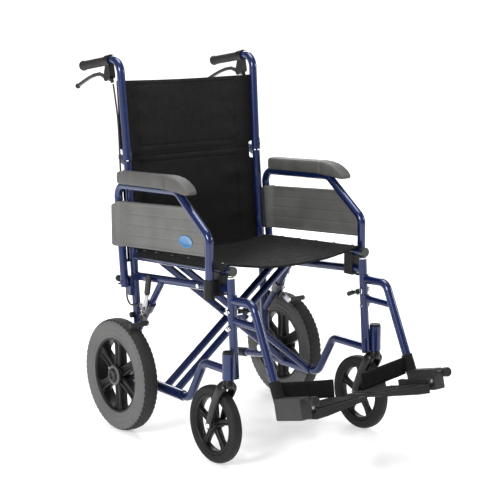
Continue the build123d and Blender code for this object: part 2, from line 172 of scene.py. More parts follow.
SPECS = {
    # colour, metallic, roughness low/high, coat, speckle scale, bump scale, bump depth, bevel
    "paint_blue": ((0.0045, 0.0148, 0.080), 0.45, 0.22, 0.32, 0.55, 900, 1400, 0.00003, 0.0012),
    "paint_black": ((0.0060, 0.0060, 0.0065), 0.0, 0.34, 0.46, 0.2, 700, 1500, 0.00004, 0.0012),
    "chrome_bright": ((0.78, 0.79, 0.81), 1.0, 0.10, 0.22, 0.0, 300, 900, 0.00002, 0.0008),
    "steel_plate": ((0.52, 0.52, 0.54), 1.0, 0.28, 0.42, 0.0, 350, 1200, 0.00004, 0.0008),
    "plastic_black": ((0.0045, 0.0045, 0.005), 0.0, 0.36, 0.50, 0.0, 500, 1600, 0.00008, 0.0015),
    "plastic_panel": ((0.108, 0.108, 0.105), 0.0, 0.40, 0.54, 0.0, 260, 1300, 0.00010, 0.0015),
    "plastic_grey": ((0.029, 0.029, 0.031), 0.0, 0.42, 0.58, 0.0, 400, 1500, 0.00008, 0.0020),
    "plastic_plate": ((0.012, 0.012, 0.0130), 0.0, 0.44, 0.60, 0.0, 300, 1200, 0.00012, 0.0020),
    "hub_cap": ((0.095, 0.095, 0.099), 0.0, 0.40, 0.52, 0.0, 400, 1400, 0.00006, 0.0010),
    "rubber_grip": ((0.013, 0.013, 0.013), 0.0, 0.50, 0.66, 0.0, 700, 1700, 0.00012, 0.0006),
    # rear tyre rubber in two copies: a lighter sidewall colour as painted light from the key lamp, and a
    # darker tread colour as painted shade
    "rubber_sidewall_painted_light": ((0.112, 0.111, 0.111), 0.0, 0.60, 0.76, 0.0, 180, 900, 0.00014, 0.0),
    "rubber_tread_painted_shade": ((0.022, 0.022, 0.022), 0.0, 0.62, 0.78, 0.0, 180, 900, 0.00014, 0.0),
    "rubber_caster": ((0.010, 0.010, 0.010), 0.0, 0.56, 0.72, 0.0, 180, 900, 0.00014, 0.0),
    "pad_skin": ((0.078, 0.077, 0.076), 0.0, 0.46, 0.60, 0.0, 420, 1100, 0.00022, 0.0),
    "cable_jacket": ((0.030, 0.030, 0.032), 0.0, 0.36, 0.46, 0.0, 300, 1500, 0.00004, 0.0),
    "screw_dark": ((0.16, 0.16, 0.17), 1.0, 0.26, 0.38, 0.0, 300, 900, 0.00002, 0.0),
    "badge_face": ((0.045, 0.16, 0.34), 0.0, 0.18, 0.26, 0.6, 300, 900, 0.00002, 0.0),
}


def finish_of(name, split=None):
    """A hard finish with fine grain, uneven gloss and softened edges.

    split is (other finish, direction, distance): past that distance the other finish is shown.
    """
    colour, metal, low, high, coat, speckle, grain, depth, bevel = SPECS[name]
    nodes = Nodes(name if split is None else f"{name}_{split[0]}")
    patch = nodes.spread(nodes.noise(speckle * 0.05, 4.0), 0.0, 1.0)
    tone = nodes.blend(patch, shade(colour, 0.86), shade(colour, 1.16))
    gloss = nodes.spread(nodes.noise(speckle, 2.0), low, high)
    if split is not None:
        other, direction, distance = split
        colour_b, metal_b, low_b, high_b = SPECS[other][:4]
        side = nodes.beyond(direction, distance)
        tone_b = nodes.blend(patch, shade(colour_b, 0.86), shade(colour_b, 1.16))
        tone = nodes.blend(side, tone, tone_b)
        gloss = nodes.math("ADD", gloss, nodes.math("MULTIPLY", side, (low_b + high_b - low - high) / 2))
        if metal_b != metal:
            change = nodes.math("MULTIPLY", side, metal_b - metal)
            nodes.link(nodes.math("ADD", change, metal), nodes.shader.inputs["Metallic"])
        else:
            nodes.shader.inputs["Metallic"].default_value = metal
    else:
        nodes.shader.inputs["Metallic"].default_value = metal
    nodes.link(tone, nodes.shader.inputs["Base Color"])
    nodes.link(gloss, nodes.shader.inputs["Roughness"])
    nodes.shader.inputs["Coat Weight"].default_value = coat
    nodes.shader.inputs["Coat Roughness"].default_value = 0.06
    if metal == 0.0:
        nodes.shader.inputs["Specular IOR Level"].default_value = 0.26
    nodes.bump(nodes.noise(grain, 2.0), 0.35, depth * 4, bevel)
    return nodes.material


def cloth_finish(name, colour, threads, sheen, tilt="Z"):
    """A plain weave: two crossed sets of threads with uneven dye and a soft sheen."""
    nodes = Nodes(name)
    warp = nodes.wave(threads, "X", 0.4)
    weft = nodes.wave(threads, tilt, 0.4)
    weave = nodes.math("MULTIPLY", nodes.math("ADD", warp, weft), 0.5)
    patch = nodes.spread(nodes.noise(14, 5.0), 0.0, 1.0)
    tone = nodes.blend(patch, shade(colour, 0.8), shade(colour, 1.25))
    tone = nodes.blend(weave, tone, shade(colour, 1.5))
    nodes.link(tone, nodes.shader.inputs["Base Color"])
    nodes.link(nodes.spread(nodes.noise(60), 0.62, 0.8), nodes.shader.inputs["Roughness"])
    nodes.shader.inputs["Specular IOR Level"].default_value = 0.16
    nodes.shader.inputs["Sheen Weight"].default_value = sheen
    nodes.shader.inputs["Sheen Roughness"].default_value = 0.4
    threads_height = nodes.math("MULTIPLY", weave, 0.6)
    height = nodes.math("ADD", threads_height, nodes.math("MULTIPLY", nodes.noise(45, 5.0), 0.9))
    nodes.bump(height, 0.5, 0.0009)
    return nodes.material


MATERIALS = {name: finish_of(name) for name in SPECS}
MATERIALS["nylon"] = cloth_finish("nylon", (0.0062, 0.0058, 0.0056), 520, 0.02)
MATERIALS["nylon_seat"] = cloth_finish("nylon_seat", (0.0050, 0.0049, 0.0047), 520, 0.02, "Y")
MATERIALS["webbing"] = cloth_finish("webbing", (0.0065, 0.0064, 0.0064), 330, 0.03)

NODE_FINISH = {
    "side_frame": "paint_blue", "front_socket": "plastic_black", "frame_hardware": "chrome_bright",
    "frame_trim": "plastic_black", "brake_bracket": "screw_dark",
    "back_tube": "paint_blue", "back_hinge": "paint_blue",
    "lever_clamp": "plastic_black", "hand_lever": "paint_black", "arm_frame": "paint_blue",
    "hanger": "paint_blue", "footplate_pin": "chrome_bright",
    "footplate": "plastic_plate",
}


def dress(node, material):
    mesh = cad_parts[node].data
    mesh.materials.clear()
    mesh.materials.append(material)


PITCH = math.radians(14)


def dress_frame():
    for side, sign in SIDES.items():
        for node, finish in NODE_FINISH.items():
            dress(f"{node}_{side}", MATERIALS[finish])
        grip = ("rubber_grip", (0, 0, 1), 0.3775)
        dress(f"parking_lever_{side}", finish_of("steel_plate", grip))
        bumper = ("rubber_grip", (0, -math.cos(PITCH), math.sin(PITCH)), bumper_distance())
        dress(f"foot_bracket_{side}", finish_of("plastic_grey", bumper))
        dress(f"latch_lever_{side}", finish_of("plastic_black", ("plastic_grey", (-sign, 0, 0), -0.170)))
        bar = ("rubber_grip", (sign, 0, 0), 0.2432)
        dress(f"parking_shoe_{side}", finish_of("steel_plate", bar))
    for node in ("brace_a", "brace_b"):
        dress(node, finish_of("paint_blue", ("plastic_black", (0, -1, 0), 0.1911)))
    dress("cross_pivot", MATERIALS["chrome_bright"])


def bumper_distance():
    """Distance along the pin, from the row's origin, at which the rubber bumper starts."""
    y = (-447 - 116.5 * math.cos(PITCH) + 16 * math.sin(PITCH) + ORIGIN_Y) * MM
    z = (190 + 116.5 * math.sin(PITCH) + 16 * math.cos(PITCH)) * MM
    return -y * math.cos(PITCH) + z * math.sin(PITCH)


# ---------------------------------------------------------------- mesh helpers
def piece(name, points, faces, finish, smooth=True, levels=0):
    mesh = bpy.data.meshes.new(name)
    mesh.from_pydata([tuple(p) for p in points], [], faces)
    shape = bmesh.new()
    shape.from_mesh(mesh)
    bmesh.ops.recalc_face_normals(shape, faces=shape.faces)
    shape.to_mesh(mesh)
    shape.free()
    mesh.validate()
    made = bpy.data.objects.new(name, mesh)
    bpy.context.collection.objects.link(made)
    mesh.materials.append(MATERIALS[finish])
    for face in mesh.polygons:
        face.use_smooth = smooth
    if levels:
        modifier = made.modifiers.new("round", "SUBSURF")
        modifier.levels = modifier.render_levels = levels
        apply_modifiers(made)
    return made


def apply_modifiers(made):
    graph = bpy.context.evaluated_depsgraph_get()
    mesh = bpy.data.meshes.new_from_object(made.evaluated_get(graph))
    made.modifiers.clear()
    made.data = mesh
    return made


def joined(name, parts):
    """Join several pieces into one object of the given name."""
    bpy.ops.object.select_all(action="DESELECT")
    for part in parts:
        part.select_set(True)
    bpy.context.view_layer.objects.active = parts[0]
    bpy.ops.object.join()
    parts[0].name = parts[0].data.name = name
    return parts[0]


def mirrored(points, sign):
    return [Vector((p[0] * sign, p[1], p[2])) for p in points]


def loft(name, rings, finish, sign=1, closed_ends=True, levels=0, smooth=True):
    """Skin a list of equally long rings of points; the ends are capped."""
    count = len(rings[0])
    points = [p for ring in rings for p in ring]
    faces = []
    for i in range(len(rings) - 1):
        for k in range(count):
            nxt = (k + 1) % count
            faces.append((i * count + k, i * count + nxt, (i + 1) * count + nxt, (i + 1) * count + k))
    if closed_ends:
        faces.append(tuple(range(count)))
        faces.append(tuple(range((len(rings) - 1) * count, len(rings) * count)))
    return piece(name, mirrored(points, sign), faces, finish, smooth, levels)


def revolved(name, profile, centre, finish, steps=96, change=None):
    """Turn a closed profile of (x, radius) millimetres about an axle along X."""
    count = len(profile)
    points, faces = [], []
    for i in range(steps):
        angle = 2 * math.pi * i / steps
        for x, radius in profile:
            r = radius if change is None else change(x, radius, i)
            points.append(centre + Vector((x, r * math.cos(angle), r * math.sin(angle))) * MM)
        for k in range(count):
            nxt = (k + 1) % count
            j = (i + 1) % steps
            faces.append((i * count + k, i * count + nxt, j * count + nxt, j * count + k))
    return piece(name, points, faces, finish)


def lathe(name, start, direction, profile, finish, steps=32):
    """Turn an open profile of (distance, radius) millimetres about a line; the ends are capped."""
    direction = Vector(direction).normalized()
    side = direction.orthogonal().normalized()
    other = direction.cross(side)
    rings = []
    for along, radius in profile:
        centre = start + direction * along * MM
        ring = []
        for k in range(steps):
            angle = 2 * math.pi * k / steps
            ring.append(centre + (side * math.cos(angle) + other * math.sin(angle)) * radius * MM)
        rings.append(ring)
    return loft(name, rings, finish)


def two_skins(across, along):
    """Faces of two equal grids of points, one after the other, closed along their rim."""
    row, half = along + 1, (across + 1) * (along + 1)
    faces = []
    for i in range(across):
        for k in range(along):
            a = i * row + k
            quad = (a, a + 1, a + row + 1, a + row)
            faces.append(quad)
            faces.append(tuple(half + q for q in reversed(quad)))
    rim = list(range(along)) + [i * row + along for i in range(across)]
    rim += [across * row + k for k in range(along, 0, -1)] + [i * row for i in range(across, 0, -1)]
    for a, b in zip(rim, rim[1:] + rim[:1]):
        faces.append((a, b, half + b, half + a))
    return faces


def sheet_piece(name, surface, across, along, thickness, finish):
    """A closed thin sheet; surface(u, v) gives a point in millimetres, thickness(u, v) its depth."""
    middle = [[surface(i / across, k / along) for k in range(along + 1)] for i in range(across + 1)]
    points = []
    for side in (0.5, -0.5):
        for i in range(across + 1):
            for k in range(along + 1):
                before, after = middle[max(i - 1, 0)][k], middle[min(i + 1, across)][k]
                below, above = middle[i][max(k - 1, 0)], middle[i][min(k + 1, along)]
                normal = (after - before).cross(above - below).normalized()
                depth = thickness(i / across, k / along)
                points.append(middle[i][k] + normal * depth * side * MM)
    return piece(name, points, two_skins(across, along), finish)


def smoothstep(low, high, value):
    share = min(1.0, max(0.0, (value - low) / (high - low)))
    return share * share * (3 - 2 * share)


def swell(value, centre, width):
    """A smooth ridge of height 1 and the given half width."""
    return math.exp(-((value - centre) / width) ** 2)


def crease(x, z):
    """Small deterministic folds, in millimetres, for taut cloth."""
    value = 0.55 * math.sin(0.031 * x + 0.9 * math.sin(0.017 * z + 1.1))
    value += 0.35 * math.sin(0.057 * z + 0.8 * math.sin(0.021 * x + 0.4))
    return value + 0.22 * math.sin(0.11 * x + 0.083 * z)


# ---------------------------------------------------------------- lines of the frame
def upright_y(z):
    return 222.0 + (z - 731.0) * 0.0864


def seat_z(y):
    return 467.0 + (209.0 - y) * 0.0584


def handle_z(y):
    return 968.0 + (432.0 - y) * 0.15


# ---------------------------------------------------------------- wheels
def rounded_profile(half, outer, inner, shoulder, steps=10):
    """Closed outline of a tyre: bead, sidewall, round shoulder and tread, as (x, radius)."""
    outline = [(-half * 0.66, inner), (-half * 0.84, inner + 1.5), (-half * 0.88, inner + 7)]
    wall, reach = outer - shoulder, shoulder * 1.15
    lip = inner + 0.28 * (wall - inner)
    outline += [(-half * 0.86, lip - 2), (-half * 0.82, lip), (-half * 0.90, lip + 2)]
    line = inner + 0.72 * (wall - inner)
    outline += [(-half * 0.965, line - 1.6), (-half * 0.93, line), (-half * 0.98, line + 1.6)]
    outline.append((-half * 0.99, wall - shoulder * 0.25))
    for i in range(steps + 1):
        angle = math.pi * (1 - i / (2 * steps))
        outline.append((-half + reach + reach * math.cos(angle), wall + shoulder * math.sin(angle)))
    other_side = [(-x, r) for x, r in reversed(outline)]
    tread = [(x, outer) for x in range(int(-half + reach) + 2, int(half - reach) - 1, 2)]
    return outline + tread + other_side


def rear_tread(x, radius, step):
    """Rib grooves round the tread and notches across its shoulders."""
    if radius < 136:
        return radius
    grooves = 1.6 * (swell(abs(x), 4.5, 1.4) + swell(abs(x), 11, 1.4))
    notch = 2.4 if step % 5 in (0, 1) and 12 < abs(x) < 24.4 else 0.0
    return radius - grooves - notch * smoothstep(138, 147, radius)


def caster_tread(x, radius, _step):
    """Two shallow grooves round the tread."""
    return radius - 0.8 * swell(abs(x), 6, 1.2) if radius > 92 else radius


def paint_tread_shade(tyre, centre, half, radius):
    """Give the faces of the running surface a darker rubber colour, painted shade on the tread where it faces
    away from the key light.
    """
    tyre.data.materials.append(MATERIALS["rubber_tread_painted_shade"])
    for face in tyre.data.polygons:
        spot = face.center - centre
        if abs(spot.x) < half * MM and math.hypot(spot.y, spot.z) > radius * MM:
            face.material_index = 1


def make_tyres(side, sign):
    centre = on_side(WHEEL_CENTRE, sign)
    profile = rounded_profile(25, WHEEL_R, 101, 15)
    rear = revolved(f"rear_tyre_{side}", profile, centre, "rubber_sidewall_painted_light", 300, rear_tread)
    # painted shade: the tread faces take the darker copy of the rubber, the sidewall keeps the lighter
    # painted-light copy
    paint_tread_shade(rear, centre, 19.0, 145)
    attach(rear, f"rear_wheel_{side}")
    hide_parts(f"wheel_tyre_{side}")
    centre = on_side(CASTER_CENTRE, sign)
    profile = rounded_profile(14, CASTER_R, 73, 9)
    front = revolved(f"front_tyre_{side}", profile, centre, "rubber_caster", 160, caster_tread)
    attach(front, f"caster_wheel_{side}")
    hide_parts(f"caster_tyre_{side}")


def spoke(name, centre, angle, stations):
    """One moulded spoke: stations are (radius, half width, half depth, groove depth)."""
    out = Vector((0, math.cos(angle), math.sin(angle)))
    across = Vector((0, -math.sin(angle), math.cos(angle)))
    axle = Vector((1, 0, 0))
    rings = []
    for radius, wide, deep, dip in stations:
        ring = []
        outline = [(1, -0.80), (1, 0.80), (0.86, 1), (0.45, 1), (0.36, 1 - dip), (-0.36, 1 - dip), (-0.45, 1),
                   (-0.86, 1), (-1, 0.80), (-1, -0.80), (-0.86, -1), (-0.45, -1), (-0.36, dip - 1),
                   (0.36, dip - 1), (0.45, -1), (0.86, -1)]
        for u, v in outline:
            ring.append(centre + (out * radius + across * (u * wide) + axle * (v * deep)) * MM)
        rings.append(ring)
    return loft(name, rings, "plastic_black")


def make_rims(side, sign):
    for kind, count, centre, body, node in (
        ("rear_rim", 6, on_side(WHEEL_CENTRE, sign), f"rear_wheel_{side}", f"wheel_rim_{side}"),
        ("front_rim", 5, on_side(CASTER_CENTRE, sign), f"caster_wheel_{side}", f"caster_rim_{side}"),
    ):
        parts = []
        if kind == "rear_rim":
            band = [(-20, 104), (-21, 101), (-20, 97), (-17, 95.5), (-8, 95), (0, 94.6), (8, 95), (17, 95.5),
                    (20, 97), (21, 101), (20, 104), (18, 117), (-18, 117)]
            hub = [(-30, 6.1), (-30, 16), (-28, 19), (-14, 21), (-8, 26), (8, 26), (14, 21), (22, 20),
                   (22, 6.1)]
            stations = [(18, 13, 13, 0.0), (30, 13.5, 13, 0.25), (60, 13, 11.5, 0.3), (84, 14, 12, 0.3),
                        (92, 19, 14, 0.1), (97, 24, 15, 0.0)]
            phase = math.radians(30)
        else:
            band = [(-11, 77), (-12, 74), (-11, 70), (-8, 68.5), (0, 68), (8, 68.5), (11, 70), (12, 74),
                    (11, 77)]
            hub = [(-16.5, 5.1), (-16.5, 11), (-14, 14), (-6, 15.5), (6, 15.5), (14, 14), (16.5, 11),
                   (16.5, 5.1)]
            stations = [(11, 8, 8, 0.0), (22, 7.5, 8, 0.25), (46, 6.5, 7, 0.3), (62, 8.5, 7.5, 0.2),
                        (71, 13, 8.5, 0)]
            phase = math.radians(90)
        parts.append(revolved(f"{kind}_band", band, centre, "plastic_black", 120))
        parts.append(revolved(f"{kind}_hub", hub, centre, "plastic_black", 48))
        for i in range(count):
            parts.append(spoke(f"{kind}_spoke", centre, phase + 2 * math.pi * i / count, stations))
        rim = joined(f"{kind}_{side}", parts)
        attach(rim, body)
        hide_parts(node)
        if kind == "rear_rim":
            cap_profile = [(18, 8), (21, 26.6), (23.6, 27), (25, 26), (25.6, 23.6), (25.6, 15),
                           (24.4, 14.4), (24.4, 13.4), (25.2, 12.6), (25.4, 0.4)]
            cap = lathe(f"hub_cap_{side}", centre, (sign, 0, 0), cap_profile, "hub_cap", 48)
            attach(cap, body)


def swept(name, path, finish, sign=1, steps=20):
    """A smooth bar along stations (x, y, z, half width in the side plane, half depth along X)."""
    rings = []
    for i, (x, y, z, wide, deep) in enumerate(path):
        before, after = Vector(path[max(i - 1, 0)][:3]), Vector(path[min(i + 1, len(path) - 1)][:3])
        along = (after - before).normalized()
        flat = along.cross(Vector((1, 0, 0)))
        flat = Vector((0, 1, 0)) if flat.length < 0.3 else flat.normalized()
        deep_way = flat.cross(along).normalized()
        ring = []
        for k in range(steps):
            angle = 2 * math.pi * k / steps
            u = math.copysign(abs(math.cos(angle)) ** 0.75, math.cos(angle))
            v = math.copysign(abs(math.sin(angle)) ** 0.75, math.sin(angle))
            p = Vector((x, y, z)) + flat * u * wide + deep_way * v * deep
            ring.append(at(p.x, p.y, p.z))
        rings.append(ring)
    return loft(name, rings, finish, sign)


def smooth_path(stations, count):
    """Catmull-Rom points through rows of numbers."""
    rows = [Vector(row) for row in stations]
    made = []
    for i in range(len(rows) - 1):
        a, b, c, d = rows[max(i - 1, 0)], rows[i], rows[i + 1], rows[min(i + 2, len(rows) - 1)]
        for k in range(count):
            t = k / count
            made.append(0.5 * (b * 2 + (c - a) * t + (a * 2 - b * 5 + c * 4 - d) * t * t
                               + (b * 3 - a - c * 3 + d) * t * t * t))
    return [tuple(row) for row in made] + [tuple(rows[-1])]


FORK_LEG = [  # distance out from the stem, y, z, half width, half depth
    (0, -268, 213, 14, 8), (11, -266, 213, 14, 8), (18.5, -262, 207, 13.5, 7), (22, -255, 195, 12.5, 5),
    (21.5, -240, 170, 11.5, 3.9), (21.5, -225, 138, 11, 3.8), (21.5, -214.5, 110, 10.5, 3.7),
    (21.5, -212.4, 98, 10, 3.6), (21.5, -212.2, 91, 7, 3.2), (21.5, -212.1, 89, 3, 2.4),
]


def make_fork(side, sign):
    """Caster fork: two curved legs growing out of a rounded crown under the stem."""
    parts = []
    for way in (-1, 1):
        leg = [(STEM_X + way * out, y, z, wide, deep) for out, y, z, wide, deep in FORK_LEG]
        path = smooth_path(leg, 5)
        parts.append(swept("leg", path, "paint_black", sign))
    collar = [(0, 8), (0, 13.5), (3, 14.6), (14, 14.6), (17, 13.2), (21.5, 13.2), (21.5, 0.5)]
    stem = [(0, 8), (66, 8), (66, 0.4)]
    parts.append(lathe("collar", at(sign * STEM_X, STEM_Y, 206), (0, 0, 1), collar, "paint_black", 40))
    parts.append(lathe("stem", at(sign * STEM_X, STEM_Y, 226), (0, 0, 1), stem, "paint_black", 24))
    fork = joined(f"fork_{side}", parts)
    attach(fork, f"caster_fork_{side}")
    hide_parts(f"caster_fork_{side}")
    bolt = [(0, 8), (1.2, 8), (1.3, 6.4), (4.6, 6.4), (6, 4.6), (6, 0.3)]
    bolts = []
    for way in (-1, 1):
        start = on_side(CASTER_CENTRE, sign) + Vector((way * 24 * MM, 0, 0))
        corners = 6 if way == sign else 24
        bolts.append(lathe("bolt", start, (way, 0, 0), bolt, "chrome_bright", corners))
    pair = joined(f"fork_bolts_{side}", bolts)
    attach(pair, f"caster_fork_{side}")


# ---------------------------------------------------------------- grips, arm pads, side panels
def make_grip(side, sign):
    slope = Vector((0, 1, -0.15)).normalized()
    start = at(sign * 222, 310, handle_z(310))
    length = 126 / slope.y
    profile = [(0, 11.2), (0, 13.0), (1, 13.9), (4, 13.9), (5.5, 13.2), (8, 12.6)]
    ridge = 10.0
    while ridge < 100:
        profile += [(ridge, 12.6), (ridge + 2.2, 12.0), (ridge + 4.4, 12.0), (ridge + 6.6, 12.6)]
        ridge += 9.0
    profile += [(106, 12.6), (114, 12.9), (119, 14.0), (123, 14.4)]
    profile += [(length - 1.5, 13.8), (length, 11.5), (length, 0.4)]
    grip = lathe(f"grip_{side}", start, slope, profile, "rubber_grip", 40)
    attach(grip, f"upper_back_{side}")
    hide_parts(f"hand_grip_{side}")


PAD_STATIONS = [  # y, underside z, top z, half width
    (191, 675, 698, 16), (190, 671, 702, 18.4), (184, 669.5, 703.4, 19.6), (120, 672, 706.4, 20),
    (50, 675.4, 710, 20), (-10, 678, 713.4, 20), (-40, 678, 715, 20.4), (-60, 676.5, 714.6, 21.5),
    (-80, 676.5, 711.6, 21.2), (-98, 675.5, 706, 20.6), (-113, 674, 698.6, 19.6),
    (-125, 673.8, 691, 17.6), (-132, 675, 685.6, 14.5), (-136, 678, 682.6, 9),
]


def between(table, y):
    """Row of a table of stations, linearly interpolated at y."""
    for a, b in zip(table, table[1:]):
        if b[0] <= y <= a[0]:
            share = (a[0] - y) / (a[0] - b[0])
            return [p + (q - p) * share for p, q in zip(a, b)]
    return table[-1]


def make_pad(side, sign):
    ys = [191, 190, 187, 184, 178] + list(range(170, -45, -10))
    ys += [-40 - 2.0 * i for i in range(21)]
    ys += [-84, -90, -98, -106, -113, -119, -125, -129, -132, -134.4, -136]
    squareness = 0.42
    rings = []
    for y in ys:
        low, high, half = between(PAD_STATIONS, y)[1:]
        rib = 0.0
        if -76 < y < -44:
            rib = 0.5 - 0.5 * math.cos(2 * math.pi * (y + 44) / 8.0)
        ring = []
        for k in range(32):
            angle = 2 * math.pi * k / 32
            cx, cz = math.cos(angle), math.sin(angle)
            x = half * math.copysign(abs(cx) ** squareness, cx)
            z = (high - low) / 2 * math.copysign(abs(cz) ** squareness, cz)
            drop = rib if cz > 0.3 else 0.0
            crown = 1.6 * (1 - (x / 21.5) ** 2) if cz > 0.5 else 0.0
            ring.append(at(PAD_X + x, y, (high + low) / 2 + z - drop - 1.6 + crown))
        rings.append(ring)
    pad = loft(f"armrest_pad_{side}", rings, "pad_skin", sign)
    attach(pad, f"armrest_{side}")
    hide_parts(f"arm_pad_{side}")


def panel_edge(y, low):
    """Bottom or top edge of the side panel at y."""
    if low:
        return 496 + (228 - y) * 29 / 414
    if y < -172:
        return 566 + (y + 186) * 17 / 14
    if y < -95:
        return 583 + (y + 172) * 57 / 77
    return 640 - (y + 95) * 21 / 301


def make_panel(side, sign):
    """Moulded side panel: a thick rear flange round the armrest's leg, fine ribs and a rolled border."""
    rear, front = 243.0, -186.0

    def skin(u, v, out):
        y = rear + (front - rear) * u
        low, high = panel_edge(y, True), panel_edge(min(y, 206.0), False)
        if y > 228:
            low += (y - 228) * 0.5
        if y > 206:
            high -= (y - 206) * 0.42
        z = low + (high - low) * v
        flange = smoothstep(176, 192, y)
        depth = 3.0 + 10.0 * flange
        depth *= 1.0 - 0.35 * smoothstep(234, 243, y)
        edge = min(z - low, high - z, y - front if flange < 0.5 else 99.0)
        depth += (1.5 * swell(edge, 4.0, 2.6) - 0.9 * smoothstep(2.0, 0.0, edge)) * (1 - flange)
        for share in (0.27, 0.50, 0.73):
            depth -= 1.0 * swell(z - low, share * (619 - 496), 1.6) * (1 - flange)
        depth -= 1.6 * swell(y, 214.0 + (z - 496) * 0.06, 1.8) * flange
        return at(ARM_X + out * depth, y, z)

    across, along = 150, 64
    points = []
    for out in (1, -1):
        for i in range(across + 1):
            for k in range(along + 1):
                points.append(skin(i / across, k / along, out))
    panel = piece("panel", mirrored(points, sign), two_skins(across, along), "plastic_panel")
    knob_profile = [(0, 5), (9.6, 5), (10.2, 8.4), (11.2, 9), (20.5, 9), (22.2, 7.8), (22.2, 0.4)]
    knob = lathe("knob", at(sign * ARM_X, 206.8, 405), (0, 1, 0), knob_profile, "plastic_black", 28)
    stations = [(ARM_X, 206, 392, 2.4, 5.0), (ARM_X, 212, 391.5, 2.5, 5.6), (ARM_X, 219, 391, 2.3, 5.6),
                (ARM_X, 223.5, 390.4, 1.2, 4.6)]
    catch = swept("catch", smooth_path(stations, 4), "plastic_black", sign)
    whole = joined(f"side_panel_skin_{side}", [panel, knob, catch])
    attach(whole, f"armrest_{side}")
    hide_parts(f"side_panel_{side}")
    for k, z in enumerate((520, 590)):
        y = 226 + (z - 520) * 0.07
        head = [(0, 4.4), (0.6, 4.4), (1.6, 3.6), (2.0, 2.2), (1.2, 2.0), (1.2, 0.3)]
        screw = lathe(f"panel_screw_{k}_{side}", at(sign * 262.4, y, z), (sign, 0, 0), head, "screw_dark", 20)
        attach(screw, f"armrest_{side}")
    rings = []
    for inset, out in ((0, -0.4), (0, 0.9), (0.8, 1.6), (2.2, 1.6), (2.8, 1.1), (18, 1.3)):
        wide, tall = BADGE_HALF_WIDTH - inset, max(BADGE_HALF_HEIGHT - inset, 0.3)
        ring = []
        for k in range(48):
            angle = 2 * math.pi * k / 48
            y = BADGE_Y + wide * math.cos(angle)
            ring.append(at(253.3 + out, y, BADGE_Z + tall * math.sin(angle)))
        rings.append(ring)
    badge = loft(f"plain_plaque_{side}", rings, "badge_face", sign)
    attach(badge, f"armrest_{side}")


# ---------------------------------------------------------------- cloth
def make_back(name, z_low, z_high, body, node, hems, lap):
    """One back panel: taut nylon behind the tubes, padded between two upright seams."""
    def place(u, v):
        z = z_low + (z_high - z_low) * v
        half = 227.0 - 24.0 * smoothstep(694, 704, z) * (1 - smoothstep(744, 754, z))
        return (2 * u - 1) * half, z

    def surface(u, v):
        x, z = place(u, v)
        inside = smoothstep(0, 46, RAIL_X - abs(x))
        sag = 14.0 * (1 - (x / RAIL_X) ** 2) * inside
        folds = 1.3 * crease(x, z) + 1.6 * math.sin(z * 0.11 + x * 0.006) * swell(abs(x), 150, 40)
        lapped = lap * (1 - smoothstep(0, 16, abs(z - (z_low if lap > 0 else z_high))))
        y = upright_y(z) + 15.2 + sag + folds * inside + abs(lapped)
        top_dip = 4.0 * (1 - (x / RAIL_X) ** 2) * smoothstep(880, 936, z)
        return at(x, y, z - top_dip)

    def thickness(u, v):
        x, z = place(u, v)
        depth = 3.2 + 8.0 * smoothstep(0, 22, 172 - abs(x))
        seams = swell(abs(x), 178, 2.4) + swell(abs(x), 166, 2.4)
        for hem in hems:
            seams += swell(z, hem, 2.4)
        edge = min(z - z_low, z_high - z)
        depth += 1.6 * swell(abs(x), 172, 3.0) - 4.2 * min(1.0, seams) * smoothstep(0, 3, depth - 3.2)
        return max(2.4, depth * (0.40 + 0.60 * smoothstep(0, 8, edge)))

    cloth = sheet_piece(name, surface, 180, int((z_high - z_low) / 2.2), thickness, "nylon")
    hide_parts(node)
    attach(cloth, body)
    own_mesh(cloth)


def make_seat():
    """The seat sling, pinned along both rails and let sag between them, front edge lowest."""
    low, high = -233.0, 168.0
    across, along = 100, 90

    def surface(u, v):
        x = -231 + 462 * u
        y = low + (high - low) * v
        outward = abs(x) - RAIL_X
        drop = 0.0
        if outward > -6:
            drop = 13.0 * smoothstep(-6, 16, outward)
        front = smoothstep(0.30, 0.0, v)
        sag = (9.0 + 7.0 * front) * max(0.0, 1 - (x / 212) ** 2)
        z = seat_z(y) + TUBE_R + 3.4 - drop - sag + 0.8 * crease(x, y) * (1 if abs(x) < 195 else 0.2)
        return at(x, y - 3.0 * front * max(0.0, 1 - (x / 212) ** 2), z)

    def thickness(u, v):
        x, y = -231 + 462 * u, low + (high - low) * v
        seam = swell(abs(x), 190, 2.6) + swell(y, low + 16, 2.2) + swell(y, high - 14, 2.2)
        hem = 1.6 * (1 - smoothstep(0, 14, y - low))
        return max(2.0, 4.0 + hem - 1.5 * min(1.0, seam))

    seat = sheet_piece("seat_cloth", surface, across, along, thickness, "nylon_seat")
    settle(seat, 0.200)
    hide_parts("seat_sling")
    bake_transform(seat)


def settle(cloth, held_beyond):
    """Let gravity draw the cloth between its held edges, and keep every point near its start."""
    start = [v.co.copy() for v in cloth.data.vertices]
    group = cloth.vertex_groups.new(name="held")
    group.add([i for i, p in enumerate(start) if abs(p.x) > held_beyond], 1.0, "REPLACE")
    modifier = cloth.modifiers.new("cloth", "CLOTH")
    settings = modifier.settings
    settings.quality = 6
    settings.mass = 0.25
    settings.tension_stiffness = settings.compression_stiffness = 60
    settings.shear_stiffness = 30
    settings.bending_stiffness = 6
    settings.vertex_group_mass = "held"
    scene = bpy.context.scene
    for step in range(1, CLOTH_STEPS + 1):
        scene.frame_set(step)
    apply_modifiers(cloth)
    cloth.vertex_groups.clear()
    for before, vertex in zip(start, cloth.data.vertices):
        move = vertex.co - before
        if move.length > CLOTH_TRAVEL:
            vertex.co = before + move.normalized() * CLOTH_TRAVEL
    scene.frame_set(1)


